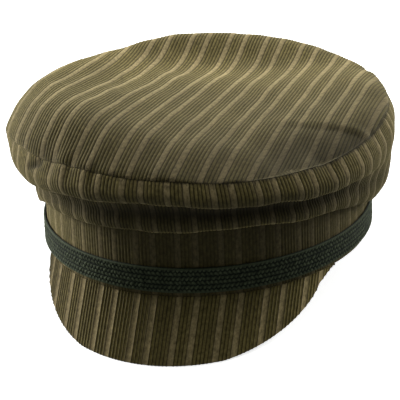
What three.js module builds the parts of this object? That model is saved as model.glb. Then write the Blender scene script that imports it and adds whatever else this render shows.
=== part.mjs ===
// A soft corduroy captain cap: head band with a woven braid, rolled side crown, round top panel, short peak.
// Units are millimetres, +Z is up and the front is towards -Y. Angles run round the cap from the front, and
// are positive towards +X. The cap is shaped level and then leaned back to rest on its peak and band.
import * as THREE from "three";

// Driving dimensions: head opening and band
const HEAD_WIDTH = 173;
const HEAD_LENGTH = 198;
const BAND_THICKNESS = 2;
const BAND_HEIGHT = 38;
const FLOOR_TRIM = 1.2;

// Driving dimensions: braid
const BRAID_WIDTH = 14;
const BRAID_THICKNESS = 1.5;
const BRAID_HEM = 2;

// Driving dimensions: crown
const CROWN_THICKNESS = 2;
const CROWN_OVERHANG = 20;
const CROWN_HEIGHT = 28;
const TOP_THICKNESS = 2;
const TOP_SWELL = 20;
const TOP_ROLL_FRONT = 0.32;
const TOP_ROLL_BACK = 0.14;
const TOP_ROUND_FRONT = 0.75;
const TOP_ROUND_BACK = 0.5;

// Driving dimensions: peak
const PEAK_THICKNESS = 3;
const PEAK_LENGTH = 38;
const PEAK_PRESSED = 0.5;
const PEAK_SLOPE = 50;
const PEAK_HALF_ANGLE = 58;
const PEAK_CORNER = 2.4;
const PEAK_END = 3;

// Clearance between touching pieces
const SEAM_GAP = 0.3;

// Fineness of the meshes
const COLUMNS = 72;
const CROWN_STEPS = 18;
const TOP_RINGS = 12;
const PEAK_COLUMNS = 44;
const PEAK_ROWS = 6;
const NORMAL_STEP = 0.005;

const HALF_WIDTH = HEAD_WIDTH / 2;
const HALF_LENGTH = HEAD_LENGTH / 2;
const BAND_HALF_LENGTH = HALF_LENGTH + BAND_THICKNESS;
const CROWN_BOTTOM = BAND_HEIGHT + SEAM_GAP;

// The level cap leans back until the peak's edge and the band's back lie in one plane
const slope = THREE.MathUtils.degToRad(PEAK_SLOPE);
const peakDirection = new THREE.Vector3(0, -Math.cos(slope), -Math.sin(slope));
const peakDrop = (PEAK_LENGTH - PEAK_PRESSED) * Math.sin(slope) + SEAM_GAP;
const peakReach = (PEAK_LENGTH - PEAK_PRESSED) * Math.cos(slope);
const REST_TILT = Math.atan2(peakDrop + FLOOR_TRIM, 2 * BAND_HALF_LENGTH + peakReach);

// Returns the height of the plane that the cap rests on, at a distance towards the back.
function restPlane(y) {
  return FLOOR_TRIM - Math.tan(REST_TILT) * (BAND_HALF_LENGTH - y);
}

// Returns how far a point may go along the peak's direction before it meets the resting plane.
function lengthToRest(point) {
  return (point.z - restPlane(point.y)) / (Math.sin(slope) - Math.tan(REST_TILT) * Math.cos(slope));
}

// Sections of the side crown at places round the cap, from the band's seam up to the top seam.
// out is measured from the band, as shares of CROWN_OVERHANG.
// up is measured from the band's top edge, as shares of CROWN_HEIGHT.
// The columns are: band seam, stand, turn over, lower roll's edge, lower roll's face, hollow,
// upper roll's underside, upper roll's edge, widest place, top seam.
const crownSections = [
  {
    place: "front",
    angle: 0,
    out: [0, 0, 0.1, 0.25, 0.3, 0.26, 0.6, 0.87, 0.97, 0.74],
    up: [0, 0.06, 0.1, -0.03, 0.08, 0.32, 0.72, 0.67, 0.8, 1.01],
  },
  {
    place: "front, turning right",
    angle: 28,
    out: [0, 0, 0.1, 0.24, 0.31, 0.28, 0.59, 0.84, 0.94, 0.71],
    up: [0, 0.06, 0.1, -0.01, 0.09, 0.28, 0.6, 0.54, 0.68, 0.92],
  },
  {
    place: "front right",
    angle: 50,
    out: [0, 0, 0.1, 0.24, 0.33, 0.3, 0.58, 0.8, 0.9, 0.66],
    up: [0, 0.06, 0.1, -0.13, 0.0, 0.19, 0.5, 0.44, 0.6, 0.92],
  },
  {
    place: "right",
    angle: 100,
    out: [0, 0, 0.12, 0.25, 0.46, 0.58, 0.61, 0.65, 0.71, 0.55],
    up: [0, 0.05, 0.07, -0.6, -0.43, -0.13, 0.13, 0.35, 0.77, 1.1],
  },
  {
    place: "back",
    angle: 170,
    out: [0, 0, 0.12, 0.22, 0.4, 0.55, 0.7, 0.8, 0.85, 0.66],
    up: [0, 0.05, 0.07, -0.37, -0.22, 0.0, 0.26, 0.5, 0.8, 1.2],
  },
  {
    place: "back left",
    angle: 225,
    out: [0, 0, 0.12, 0.22, 0.4, 0.56, 0.74, 0.86, 0.94, 0.8],
    up: [0, 0.05, 0.07, -0.45, -0.28, -0.05, 0.24, 0.48, 0.8, 1.2],
  },
  {
    place: "left",
    angle: 275,
    out: [0, 0, 0.12, 0.2, 0.32, 0.42, 0.58, 0.74, 0.93, 1.0],
    up: [0, 0.05, 0.07, -0.78, -0.46, -0.17, 0.19, 0.42, 0.63, 0.78],
  },
  {
    place: "front left",
    angle: 315,
    out: [0, 0, 0.1, 0.24, 0.37, 0.4, 0.68, 0.91, 1.01, 0.86],
    up: [0, 0.06, 0.1, -0.14, -0.02, 0.17, 0.52, 0.47, 0.7, 1.06],
  },
  {
    place: "front, turning left",
    angle: 337,
    out: [0, 0, 0.1, 0.25, 0.33, 0.32, 0.65, 0.9, 1.0, 0.82],
    up: [0, 0.06, 0.1, -0.06, 0.04, 0.26, 0.67, 0.61, 0.79, 1.1],
  },
];

// Heights of the soft top panel over the front seam, as shares of TOP_SWELL. Each row is a section from the
// front to the back, and across is its place as a share of the crown's half width, towards +X.
// The columns stand at the shares of the crown's half length in topAlong.
const topAlong = [-0.9, -0.6, -0.3, 0, 0.3, 0.6, 0.9];
const topSections = [
  { across: -0.9, height: [0.6, 0.8, 0.88, 0.8, 0.72, 0.72, 0.86] },
  { across: -0.54, height: [0.75, 0.97, 0.86, 0.6, 0.4, 0.42, 0.94] },
  { across: -0.18, height: [0.58, 0.7, 0.62, 0.48, 0.32, 0.19, 0.76] },
  { across: 0.18, height: [0.36, 0.42, 0.38, 0.32, 0.29, 0.2, 0.66] },
  { across: 0.54, height: [0.08, 0.18, 0.35, 0.36, 0.4, 0.34, 0.5] },
  { across: 0.9, height: [0.05, 0.12, 0.4, 0.5, 0.55, 0.48, 0.4] },
];

// Returns the share of the way through a smooth step between two neighbours.
function smoothShare(share) {
  return (1 - Math.cos(Math.PI * share)) / 2;
}

// Blends one place along the crown's section between its two neighbours in the table, at any angle.
function crownShare(measure, place, angle) {
  const turned = ((angle % 360) + 360) % 360;
  const second = crownSections.findIndex((section) => section.angle > turned);
  const after = crownSections[second < 0 ? 0 : second];
  const before = crownSections.at(second < 0 ? -1 : second - 1);
  const span = (after.angle - before.angle + 360) % 360;
  const blend = smoothShare((turned - before.angle) / span);
  return THREE.MathUtils.lerp(before[measure][place], after[measure][place], blend);
}

// Returns a point that lies out from the head opening's oval and up from the band's lower edge.
function ovalPoint(angle, out, up) {
  const radians = THREE.MathUtils.degToRad(angle);
  return new THREE.Vector3(
    (HALF_WIDTH + out) * Math.sin(radians),
    -(HALF_LENGTH + out) * Math.cos(radians),
    up,
  );
}

// Returns the smooth middle line of the side crown at an angle, as (out, up) points.
function crownLine(angle) {
  const rows = crownSections[0].out.length;
  const corners = [];
  for (let row = 0; row < rows; row += 1) {
    const out = BAND_THICKNESS - CROWN_THICKNESS / 2 + crownShare("out", row, angle) * CROWN_OVERHANG;
    const up = CROWN_BOTTOM + crownShare("up", row, angle) * CROWN_HEIGHT;
    corners.push(new THREE.Vector3(out, up, 0));
  }
  return new THREE.CatmullRomCurve3(corners, false, "centripetal").getPoints(CROWN_STEPS);
}

// Moves each point of an (out, up) line sideways by a distance, which makes one face of a wall.
function offsetLine(line, distance) {
  return line.map((point, index) => {
    const before = line[Math.max(index - 1, 0)];
    const after = line[Math.min(index + 1, line.length - 1)];
    const along = after.clone().sub(before).normalize();
    return new THREE.Vector3(point.x + along.y * distance, point.y - along.x * distance, 0);
  });
}

// Makes an indexed mesh geometry from points and triangles.
function geometryFrom(points, triangles) {
  const geometry = new THREE.BufferGeometry();
  geometry.setAttribute("position", new THREE.Float32BufferAttribute(points.flatMap((p) => p.toArray()), 3));
  geometry.setIndex(triangles);
  geometry.computeVertexNormals();
  return geometry;
}

// Lofts a closed section right round the cap. sectionAt gives the (out, up) loop at an angle.
function ringGeometry(sectionAt) {
  const points = [];
  const triangles = [];
  const count = sectionAt(0).length;
  for (let column = 0; column < COLUMNS; column += 1) {
    const angle = (360 * column) / COLUMNS;
    sectionAt(angle).forEach((point) => points.push(ovalPoint(angle, point.x, point.y)));
  }
  for (let column = 0; column < COLUMNS; column += 1) {
    const here = column * count;
    const next = ((column + 1) % COLUMNS) * count;
    for (let row = 0; row < count; row += 1) {
      const above = (row + 1) % count;
      triangles.push(here + row, next + row, next + above);
      triangles.push(here + row, next + above, here + above);
    }
  }
  return geometryFrom(points, triangles);
}

function sideCrown() {
  return ringGeometry((angle) => {
    const line = crownLine(angle);
    const outer = offsetLine(line, CROWN_THICKNESS / 2);
    const inner = offsetLine(line, -CROWN_THICKNESS / 2);
    return [...outer, ...inner.reverse()];
  });
}

// Returns the height of the band's lower edge, which is pressed flat at the back where it rests.
function bandBottom(angle, out) {
  return Math.max(0, restPlane(ovalPoint(angle, out, 0).y));
}

function headBand() {
  const outer = BAND_THICKNESS;
  return ringGeometry((angle) => [
    new THREE.Vector3(outer, bandBottom(angle, outer), 0),
    new THREE.Vector3(outer, BRAID_HEM, 0),
    new THREE.Vector3(outer, BRAID_HEM + BRAID_WIDTH, 0),
    new THREE.Vector3(outer, BAND_HEIGHT, 0),
    new THREE.Vector3(0, BAND_HEIGHT, 0),
    new THREE.Vector3(0, bandBottom(angle, 0), 0),
  ]);
}

function braid() {
  const inner = BAND_THICKNESS + SEAM_GAP;
  const outer = inner + BRAID_THICKNESS;
  const top = BRAID_HEM + BRAID_WIDTH;
  return ringGeometry(() => [
    new THREE.Vector3(outer, BRAID_HEM, 0),
    new THREE.Vector3(outer, top, 0),
    new THREE.Vector3(inner, top, 0),
    new THREE.Vector3(inner, BRAID_HEM, 0),
  ]);
}

// Runs a smooth curve through evenly spaced values and returns its value at a place between them.
function smoothThrough(values, first, spacing, at) {
  const last = values.length - 1;
  const along = THREE.MathUtils.clamp((at - first) / spacing, 0, last);
  const index = Math.min(Math.floor(along), last - 1);
  const t = along - index;
  const near = [index - 1, index, index + 1, index + 2];
  const [a, b, c, d] = near.map((place) => values[THREE.MathUtils.clamp(place, 0, last)]);
  return b + (t / 2) * (c - a + t * (2 * a - 5 * b + 4 * c - d + t * (3 * (b - c) + d - a)));
}

// Returns the height of the top panel's swells above the front seam.
function swellHeight(x, y) {
  const across = x / (HALF_WIDTH + CROWN_OVERHANG);
  const along = y / (HALF_LENGTH + CROWN_OVERHANG);
  const heights = topSections.map((section) =>
    smoothThrough(section.height, topAlong[0], topAlong[1] - topAlong[0], along),
  );
  const spacing = topSections[1].across - topSections[0].across;
  return TOP_SWELL * smoothThrough(heights, topSections[0].across, spacing, across);
}

// Returns the rim of the top panel, a seam's gap beyond one face of the side crown's upper edge.
function topRim(angle, face) {
  const middle = crownLine(angle);
  const along = middle.at(-1).clone().sub(middle.at(-2)).normalize();
  const rim = offsetLine(middle, face).at(-1).addScaledVector(along, SEAM_GAP);
  return ovalPoint(angle, rim.x, rim.y);
}

// Returns the outer face of the top panel, at an angle and at a share of the way from the rim to the middle.
// The panel turns down to the rim over its roll, which is longer and flatter at the front than at the back.
function topPoint(angle, share) {
  const edge = topRim(angle, CROWN_THICKNESS / 2);
  const point = edge.clone().multiply(new THREE.Vector3(1 - share, 1 - share, 1));
  const frontness = 0.5 + 0.5 * Math.cos(THREE.MathUtils.degToRad(angle));
  const roll = THREE.MathUtils.lerp(TOP_ROLL_BACK, TOP_ROLL_FRONT, frontness);
  const roundness = THREE.MathUtils.lerp(TOP_ROUND_BACK, TOP_ROUND_FRONT, frontness);
  const rolled = 1 - Math.min(share / roll, 1);
  const rise = CROWN_BOTTOM + CROWN_HEIGHT + swellHeight(point.x, point.y) - edge.z;
  point.z += rise * (1 - rolled ** 2) ** roundness;
  return point;
}

// Returns the outward direction of the top panel's outer face, from two short steps across it.
function topNormal(angle, share) {
  const alongRim = topPoint(angle + 1, share).sub(topPoint(angle - 1, share));
  const inward = topPoint(angle, share + NORMAL_STEP).sub(topPoint(angle, share - NORMAL_STEP));
  return alongRim.cross(inward).normalize();
}

function topPanel() {
  const outer = [];
  const inner = [];
  for (let ring = 0; ring < TOP_RINGS; ring += 1) {
    const share = 1 - Math.cos((Math.PI / 2) * (ring / TOP_RINGS));
    for (let column = 0; column < COLUMNS; column += 1) {
      const angle = (360 * column) / COLUMNS;
      const point = topPoint(angle, share);
      outer.push(point);
      if (ring === 0) {
        inner.push(topRim(angle, CROWN_THICKNESS / 2 - TOP_THICKNESS));
      } else {
        inner.push(point.clone().addScaledVector(topNormal(angle, share), -TOP_THICKNESS));
      }
    }
  }
  const peakPoint = topPoint(0, 1);
  const points = [...outer, peakPoint, ...inner, peakPoint.clone().setZ(peakPoint.z - TOP_THICKNESS)];
  const offset = outer.length + 1;
  const triangles = [];
  for (let ring = 0; ring < TOP_RINGS; ring += 1) {
    for (let column = 0; column < COLUMNS; column += 1) {
      const beside = (column + 1) % COLUMNS;
      const a = ring * COLUMNS + column;
      const b = ring * COLUMNS + beside;
      const last = ring === TOP_RINGS - 1;
      const c = last ? outer.length : a + COLUMNS;
      const d = last ? outer.length : b + COLUMNS;
      triangles.push(a, b, c);
      triangles.push(offset + b, offset + a, offset + c);
      if (!last) {
        triangles.push(b, d, c);
        triangles.push(offset + d, offset + b, offset + c);
      }
    }
  }
  for (let column = 0; column < COLUMNS; column += 1) {
    const beside = (column + 1) % COLUMNS;
    triangles.push(column, offset + column, beside);
    triangles.push(beside, offset + column, offset + beside);
  }
  return geometryFrom(points, triangles);
}

// Returns how far the peak reaches from the band at an angle, drawn in towards its two rounded ends.
function peakLength(angle) {
  const halfAngle = THREE.MathUtils.degToRad(PEAK_HALF_ANGLE);
  const turned = Math.sin(THREE.MathUtils.degToRad(angle)) / Math.sin(halfAngle);
  return PEAK_LENGTH * Math.max(1 - Math.abs(turned) ** PEAK_CORNER, 0) ** (1 / PEAK_CORNER);
}

function peak() {
  const outer = [];
  const inner = [];
  const across = PEAK_COLUMNS + 1;
  for (let row = 0; row <= PEAK_ROWS; row += 1) {
    for (let column = 0; column < across; column += 1) {
      const angle = PEAK_HALF_ANGLE * Math.sin((Math.PI / 2) * ((2 * column) / PEAK_COLUMNS - 1));
      const root = ovalPoint(angle, BAND_THICKNESS, -SEAM_GAP);
      const tangent = ovalPoint(angle + 1, 0, 0).sub(ovalPoint(angle - 1, 0, 0));
      const normal = peakDirection.clone().cross(tangent).normalize();
      const innerRoot = root.clone().addScaledVector(normal, -PEAK_THICKNESS);
      innerRoot.addScaledVector(peakDirection, (root.z - innerRoot.z) / peakDirection.z);
      const length = Math.min(Math.max(peakLength(angle), PEAK_END), lengthToRest(root));
      const innerLength = (length * lengthToRest(innerRoot)) / lengthToRest(root);
      outer.push(root.clone().addScaledVector(peakDirection, (length * row) / PEAK_ROWS));
      inner.push(innerRoot.clone().addScaledVector(peakDirection, (innerLength * row) / PEAK_ROWS));
    }
  }
  const points = [...outer, ...inner];
  const offset = outer.length;
  const triangles = [];
  const quad = (a, b, c, d) => triangles.push(a, b, c, a, c, d);
  for (let row = 0; row < PEAK_ROWS; row += 1) {
    for (let column = 0; column < PEAK_COLUMNS; column += 1) {
      const a = row * across + column;
      const b = a + 1;
      const c = b + across;
      const d = a + across;
      quad(a, d, c, b);
      quad(offset + a, offset + b, offset + c, offset + d);
    }
  }
  for (let column = 0; column < PEAK_COLUMNS; column += 1) {
    const a = column;
    const b = column + 1;
    quad(a, b, offset + b, offset + a);
    const c = PEAK_ROWS * across + column;
    const d = c + 1;
    quad(c, offset + c, offset + d, d);
  }
  for (let row = 0; row < PEAK_ROWS; row += 1) {
    const a = row * across;
    const b = a + across;
    quad(a, offset + a, offset + b, b);
    const c = a + PEAK_COLUMNS;
    const d = b + PEAK_COLUMNS;
    quad(c, d, offset + d, offset + c);
  }
  return geometryFrom(points, triangles);
}

function namedMesh(name, geometry, color, roughness) {
  const material = new THREE.MeshStandardMaterial({ color, roughness, metalness: 0 });
  const mesh = new THREE.Mesh(geometry, material);
  mesh.name = name;
  return mesh;
}

const corduroy = 0x5b5640;
const darkBraid = 0x1e2a26;

const cap = new THREE.Group();
cap.add(namedMesh("top_panel", topPanel(), corduroy, 0.9));
cap.add(namedMesh("side_crown", sideCrown(), corduroy, 0.9));
cap.add(namedMesh("head_band", headBand(), corduroy, 0.9));
cap.add(namedMesh("braid", braid(), darkBraid, 0.8));
cap.add(namedMesh("peak", peak(), corduroy, 0.9));
cap.rotation.x = -REST_TILT;

// The origin is the middle of the bottom of the cap's box
const box = new THREE.Box3().setFromObject(cap, true);
const middle = box.getCenter(new THREE.Vector3());
cap.position.set(-middle.x, -middle.y, -box.min.z);

const model = new THREE.Group();
model.add(cap);
export default model;
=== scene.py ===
import math

import bpy
import numpy as np
from mathutils import Matrix, Vector


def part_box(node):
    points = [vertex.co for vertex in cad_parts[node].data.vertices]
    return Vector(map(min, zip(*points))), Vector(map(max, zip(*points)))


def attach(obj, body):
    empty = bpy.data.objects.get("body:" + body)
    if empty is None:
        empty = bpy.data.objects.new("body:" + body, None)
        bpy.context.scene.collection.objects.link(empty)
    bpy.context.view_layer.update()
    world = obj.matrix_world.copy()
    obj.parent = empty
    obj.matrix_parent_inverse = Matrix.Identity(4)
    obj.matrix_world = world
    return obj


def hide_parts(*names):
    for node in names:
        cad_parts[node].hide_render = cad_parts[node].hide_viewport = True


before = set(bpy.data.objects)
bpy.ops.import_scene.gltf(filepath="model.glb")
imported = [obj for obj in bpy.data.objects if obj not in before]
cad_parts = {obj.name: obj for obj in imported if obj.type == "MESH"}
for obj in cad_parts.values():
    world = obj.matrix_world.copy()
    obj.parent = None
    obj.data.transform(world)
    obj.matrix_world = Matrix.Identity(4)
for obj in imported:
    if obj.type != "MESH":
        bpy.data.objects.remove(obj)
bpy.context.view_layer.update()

# Driving size: the head band's width. One MM is one millimetre of the frame's own drawing.
band_low, band_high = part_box("head_band")
MM = (band_high.x - band_low.x) / 177

# Head band and braid
HALF_WIDTH = 86.5 * MM
HALF_LENGTH = 99 * MM
BAND_THICKNESS = 2 * MM
BAND_HEIGHT = 38 * MM
FLOOR_TRIM = 1.2 * MM
BRAID_WIDTH = 14 * MM
BRAID_THICKNESS = 1.5 * MM
BRAID_HEM = 2 * MM

# Crown
CROWN_THICKNESS = 2 * MM
CROWN_OVERHANG = 20 * MM
CROWN_HEIGHT = 28 * MM
TOP_THICKNESS = 2 * MM
TOP_SWELL = 20 * MM
TOP_ROLL_FRONT = 0.32
TOP_ROLL_BACK = 0.14
TOP_ROUND_FRONT = 0.75
TOP_ROUND_BACK = 0.5

# Peak
PEAK_THICKNESS = 3 * MM
PEAK_LENGTH = 38 * MM
PEAK_PRESSED = 0.5 * MM
PEAK_SLOPE = math.radians(50)
PEAK_HALF_ANGLE = 58
PEAK_CORNER = 2.4
PEAK_END = 3 * MM
SEAM_GAP = 0.3 * MM

# Corduroy

# One repeat of stripes is a wide wale, three narrow ones, a wide one and five narrow ones. PAIR_HALF is half
# the way across the two wide wales with the three narrow ones between them, in narrow wales.
WALE = 1.88 * MM
WIDE_SHARE = 1.9
REPEAT_WALES = 8 + 2 * WIDE_SHARE
PAIR_HALF = WIDE_SHARE + 1.5
WALE_DEPTH = 0.42 * MM
WALE_FOOT = 0.4
WALE_UNEVEN = 0.06
WALE_SPARE = 0.02
ROUND_POINTS = 3601
TOP_TURN = 0.045
TOP_STRIPE_X = 12.7 * MM
SIDE_STRIPE_X = -7.7 * MM

# Plain cloth of the backs, in columns of so many degrees
PLAIN_RIDGE = 0.6
PLAIN_LIGHT = 0.2
BACK_COLUMN = 3.0

# The level cap leans back until the peak's edge and the band's back lie in one plane
BAND_HALF_LENGTH = HALF_LENGTH + BAND_THICKNESS
CROWN_BOTTOM = BAND_HEIGHT + SEAM_GAP
peak_drop = (PEAK_LENGTH - PEAK_PRESSED) * math.sin(PEAK_SLOPE) + SEAM_GAP
peak_reach = (PEAK_LENGTH - PEAK_PRESSED) * math.cos(PEAK_SLOPE)
TILT = math.atan2(peak_drop + FLOOR_TRIM, 2 * BAND_HALF_LENGTH + peak_reach)
lean = Matrix.Rotation(-TILT, 4, "X")
shift = Vector((
    (band_low.x + band_high.x) / 2,
    band_low.y + BAND_HALF_LENGTH * math.cos(TILT),
    band_high.z - BAND_HEIGHT * math.cos(TILT) - BAND_HALF_LENGTH * math.sin(TILT),
))
to_row = Matrix.Translation(shift) @ lean

# Sections of the side crown round the cap, from the band's seam up to the top seam, as shares of
# CROWN_OVERHANG out from the band and of CROWN_HEIGHT up from the band's top edge. The columns are:
# band seam, stand, turn over, lower roll's edge, lower roll's face, hollow, upper roll's underside,
# upper roll's edge, widest place, top seam.
crown_sections = [
    {"angle": 0, "out": [0, 0, 0.1, 0.25, 0.3, 0.26, 0.6, 0.87, 0.97, 0.74],
     "up": [0, 0.06, 0.1, -0.03, 0.08, 0.32, 0.72, 0.67, 0.8, 1.01]},
    {"angle": 28, "out": [0, 0, 0.1, 0.25, 0.28, 0.2, 0.57, 0.84, 0.94, 0.71],
     "up": [0, 0.06, 0.1, -0.01, 0.09, 0.28, 0.6, 0.54, 0.68, 0.92]},
    {"angle": 50, "out": [0, 0, 0.1, 0.25, 0.31, 0.22, 0.56, 0.8, 0.9, 0.66],
     "up": [0, 0.06, 0.1, -0.13, 0.0, 0.19, 0.5, 0.44, 0.6, 0.92]},
    {"angle": 100, "out": [0, 0, 0.12, 0.25, 0.46, 0.58, 0.61, 0.65, 0.71, 0.55],
     "up": [0, 0.05, 0.07, -0.6, -0.43, -0.13, 0.13, 0.35, 0.77, 1.1]},
    {"angle": 170, "out": [0, 0, 0.12, 0.22, 0.4, 0.55, 0.7, 0.8, 0.85, 0.66],
     "up": [0, 0.05, 0.07, -0.37, -0.22, 0.0, 0.26, 0.5, 0.8, 1.2]},
    {"angle": 225, "out": [0, 0, 0.12, 0.22, 0.4, 0.56, 0.74, 0.86, 0.94, 0.8],
     "up": [0, 0.05, 0.07, -0.45, -0.28, -0.05, 0.24, 0.48, 0.8, 1.2]},
    {"angle": 275, "out": [0, 0, 0.08, 0.09, 0.16, 0.23, 0.34, 0.47, 0.75, 1.0],
     "up": [0, 0.05, 0.07, -0.78, -0.46, -0.17, 0.19, 0.42, 0.63, 0.78]},
    {"angle": 315, "out": [0, 0, 0.1, 0.22, 0.32, 0.34, 0.6, 0.82, 0.96, 0.86],
     "up": [0, 0.06, 0.1, -0.14, -0.02, 0.17, 0.52, 0.47, 0.7, 1.06]},
    {"angle": 337, "out": [0, 0, 0.1, 0.25, 0.33, 0.32, 0.65, 0.9, 1.0, 0.82],
     "up": [0, 0.06, 0.1, -0.06, 0.04, 0.26, 0.67, 0.61, 0.79, 1.1]},
]

# Heights of the top panel over the front seam, as shares of TOP_SWELL: a row from front to back for each
# place across, which is a share of the crown's half width. Columns stand at the shares in top_along.
top_along = [-0.9, -0.6, -0.3, 0, 0.3, 0.6, 0.9]
top_sections = [
    {"across": -0.9, "height": [0.6, 0.8, 0.88, 0.8, 0.72, 0.72, 0.86]},
    {"across": -0.54, "height": [0.75, 0.97, 0.86, 0.6, 0.4, 0.42, 0.94]},
    {"across": -0.18, "height": [0.58, 0.7, 0.62, 0.48, 0.32, 0.19, 0.76]},
    {"across": 0.18, "height": [0.36, 0.42, 0.38, 0.32, 0.29, 0.2, 0.66]},
    {"across": 0.54, "height": [0.08, 0.18, 0.35, 0.36, 0.4, 0.34, 0.5]},
    {"across": 0.9, "height": [0.05, 0.12, 0.4, 0.5, 0.55, 0.48, 0.4]},
]


# Shapes shared by the pieces
def oval_points(angles, out, up):
    """Points that lie out from the head opening's oval and up from the band's lower edge."""
    angles, out, up = np.broadcast_arrays(angles, out, up)
    turned = np.radians(angles)
    across = (HALF_WIDTH + out) * np.sin(turned)
    along = -(HALF_LENGTH + out) * np.cos(turned)
    return np.stack([across, along, up], axis=-1)


def inward_at(angle, rise):
    """A direction in towards the middle of the cap, which rises by a share on its way."""
    turned = np.radians(angle)
    return np.stack([-np.sin(turned), np.cos(turned), np.full_like(turned, rise)], axis=-1)


def turned_from(angle, start):
    """How far round the cap an angle lies from another one, from -180 to 180 degrees."""
    return (angle - start + 180) % 360 - 180


def frontness(angle, front=0):
    """How far a place round the cap faces the front, or another angle: from 0 behind it to 1 at it."""
    return 0.5 + 0.5 * np.cos(np.radians(angle - front))


def near(distance, reach):
    """A soft hump: 1 where the distance is nothing, fading out past the reach."""
    return np.exp(-((distance / reach) ** 2))


def crown_corners(angles):
    """The section table blended between its neighbours, as (angle, place, out and up) in metres."""
    stops = np.array([section["angle"] for section in crown_sections] + [360.0])
    turned = np.mod(angles, 360)
    before = np.clip(np.searchsorted(stops, turned, side="right") - 1, 0, len(crown_sections) - 1)
    after = (before + 1) % len(crown_sections)
    share = (turned - stops[before]) / (stops[before + 1] - stops[before])
    blend = ((1 - np.cos(math.pi * share)) / 2)[:, None]
    corners = []
    for measure in ("out", "up"):
        rows = np.array([section[measure] for section in crown_sections])
        corners.append(rows[before] * (1 - blend) + rows[after] * blend)
    out = BAND_THICKNESS - CROWN_THICKNESS / 2 + corners[0] * CROWN_OVERHANG
    up = CROWN_BOTTOM + corners[1] * CROWN_HEIGHT
    return np.stack([out, up], axis=-1)


def smooth_lines(corners, steps):
    """Centripetal curves through the corners of each section, with some steps to each stretch."""
    first = 2 * corners[:, :1] - corners[:, 1:2]
    last = 2 * corners[:, -1:] - corners[:, -2:-1]
    points = np.concatenate([first, corners, last], axis=1)
    pieces = []
    for stretch in range(corners.shape[1] - 1):
        a, b, c, d = (points[:, stretch + k] for k in range(4))
        ab, bc, cd = (
            np.sqrt(np.linalg.norm(q - p, axis=-1, keepdims=True))
            for p, q in ((a, b), (b, c), (c, d))
        )
        leave = ((b - a) / ab - (c - a) / (ab + bc) + (c - b) / bc) * bc
        arrive = ((c - b) / bc - (d - b) / (bc + cd) + (d - c) / cd) * bc
        for t in np.arange(steps) / steps:
            pieces.append(
                b + leave * t + (3 * (c - b) - 2 * leave - arrive) * t**2
                + (2 * (b - c) + leave + arrive) * t**3
            )
    pieces.append(corners[:, -1])
    return np.stack(pieces, axis=1)


def offset_lines(lines, distance):
    """One face of a wall: each section's line moved sideways."""
    along = np.empty_like(lines)
    along[:, 1:-1] = lines[:, 2:] - lines[:, :-2]
    along[:, 0] = lines[:, 1] - lines[:, 0]
    along[:, -1] = lines[:, -1] - lines[:, -2]
    along /= np.linalg.norm(along, axis=-1, keepdims=True)
    return lines + distance * np.stack([along[..., 1], -along[..., 0]], axis=-1)


def resample(lines, count):
    """The same lines with evenly spaced points."""
    steps = np.linalg.norm(np.diff(lines, axis=1), axis=-1)
    walked = np.concatenate([np.zeros((len(lines), 1)), np.cumsum(steps, axis=1)], axis=1)
    even = np.linspace(0, 1, count)
    result = np.empty((len(lines), count, lines.shape[2]))
    for row in range(len(lines)):
        for axis in range(lines.shape[2]):
            result[row, :, axis] = np.interp(even * walked[row, -1], walked[row], lines[row, :, axis])
    return result


def smooth_through(values, first, spacing, at):
    """A smooth curve through evenly spaced values, read at any places. values is (place, point)."""
    last = len(values) - 1
    along = np.clip((at - first) / spacing, 0, last)
    index = np.minimum(np.floor(along).astype(int), last - 1)
    t = along - index
    point = np.arange(values.shape[1])
    a, b, c, d = (values[np.clip(index + k, 0, last), point] for k in (-1, 0, 1, 2))
    return b + (t / 2) * (c - a + t * (2 * a - 5 * b + 4 * c - d + t * (3 * (b - c) + d - a)))


def surface_normals(points, closed=False):
    """Outward normals of a grid of points (column, row)."""
    if closed:
        beside = np.roll(points, -1, axis=0) - np.roll(points, 1, axis=0)
    else:
        beside = np.gradient(points, axis=0)
    along = np.gradient(points, axis=1)
    normals = np.cross(beside, along)
    return normals / np.maximum(np.linalg.norm(normals, axis=-1, keepdims=True), 1e-12)


# Corduroy wales
def wale_samples(start, end, pair_middle, seed, pitch=WALE, fine_steps=6, wide_steps=8):
    """Places across the cloth with the ridge's height (0 to 1) and the wale's lightness (0 to 1)."""
    rng = np.random.default_rng(seed)
    kinds = ["wide", "fine", "fine", "shoulder", "wide", "fine", "fine", "fine", "fine", "shoulder"]
    widths = {"wide": WIDE_SHARE, "fine": 1, "shoulder": 1}
    lights = {"wide": 1, "fine": 0.1, "shoulder": 0.3}
    flatness = {"wide": 0.3, "fine": 0.75, "shoulder": 0.6}
    repeat = pitch * REPEAT_WALES
    first = math.floor((start - pair_middle) / repeat) - 1
    place = pair_middle + first * repeat - pitch * PAIR_HALF
    rows = []
    number = 0
    while place < end:
        kind = kinds[number % len(kinds)]
        width = widths[kind] * pitch
        steps = wide_steps if kind == "wide" else fine_steps
        light = lights[kind] + rng.uniform(-WALE_UNEVEN, WALE_UNEVEN)
        for step in range(steps):
            t = step / steps
            rows.append((place + width * t, math.sin(math.pi * t) ** flatness[kind], light))
        place += width
        number += 1
    samples = np.array(rows)
    inside = (samples[:, 0] >= start) & (samples[:, 0] < end)
    return samples[inside].T


def walk(points):
    """How far it is along a line from its first point to each of its points."""
    steps = np.linalg.norm(np.diff(points, axis=0), axis=1)
    return np.concatenate([[0], np.cumsum(steps)])


def walk_round(out):
    """Fine angles round the cap, and how far a walk from the front to each of them is."""
    fine_angles = np.linspace(0, 360, ROUND_POINTS)
    return fine_angles, walk(oval_points(fine_angles, out, 0.0))


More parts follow.
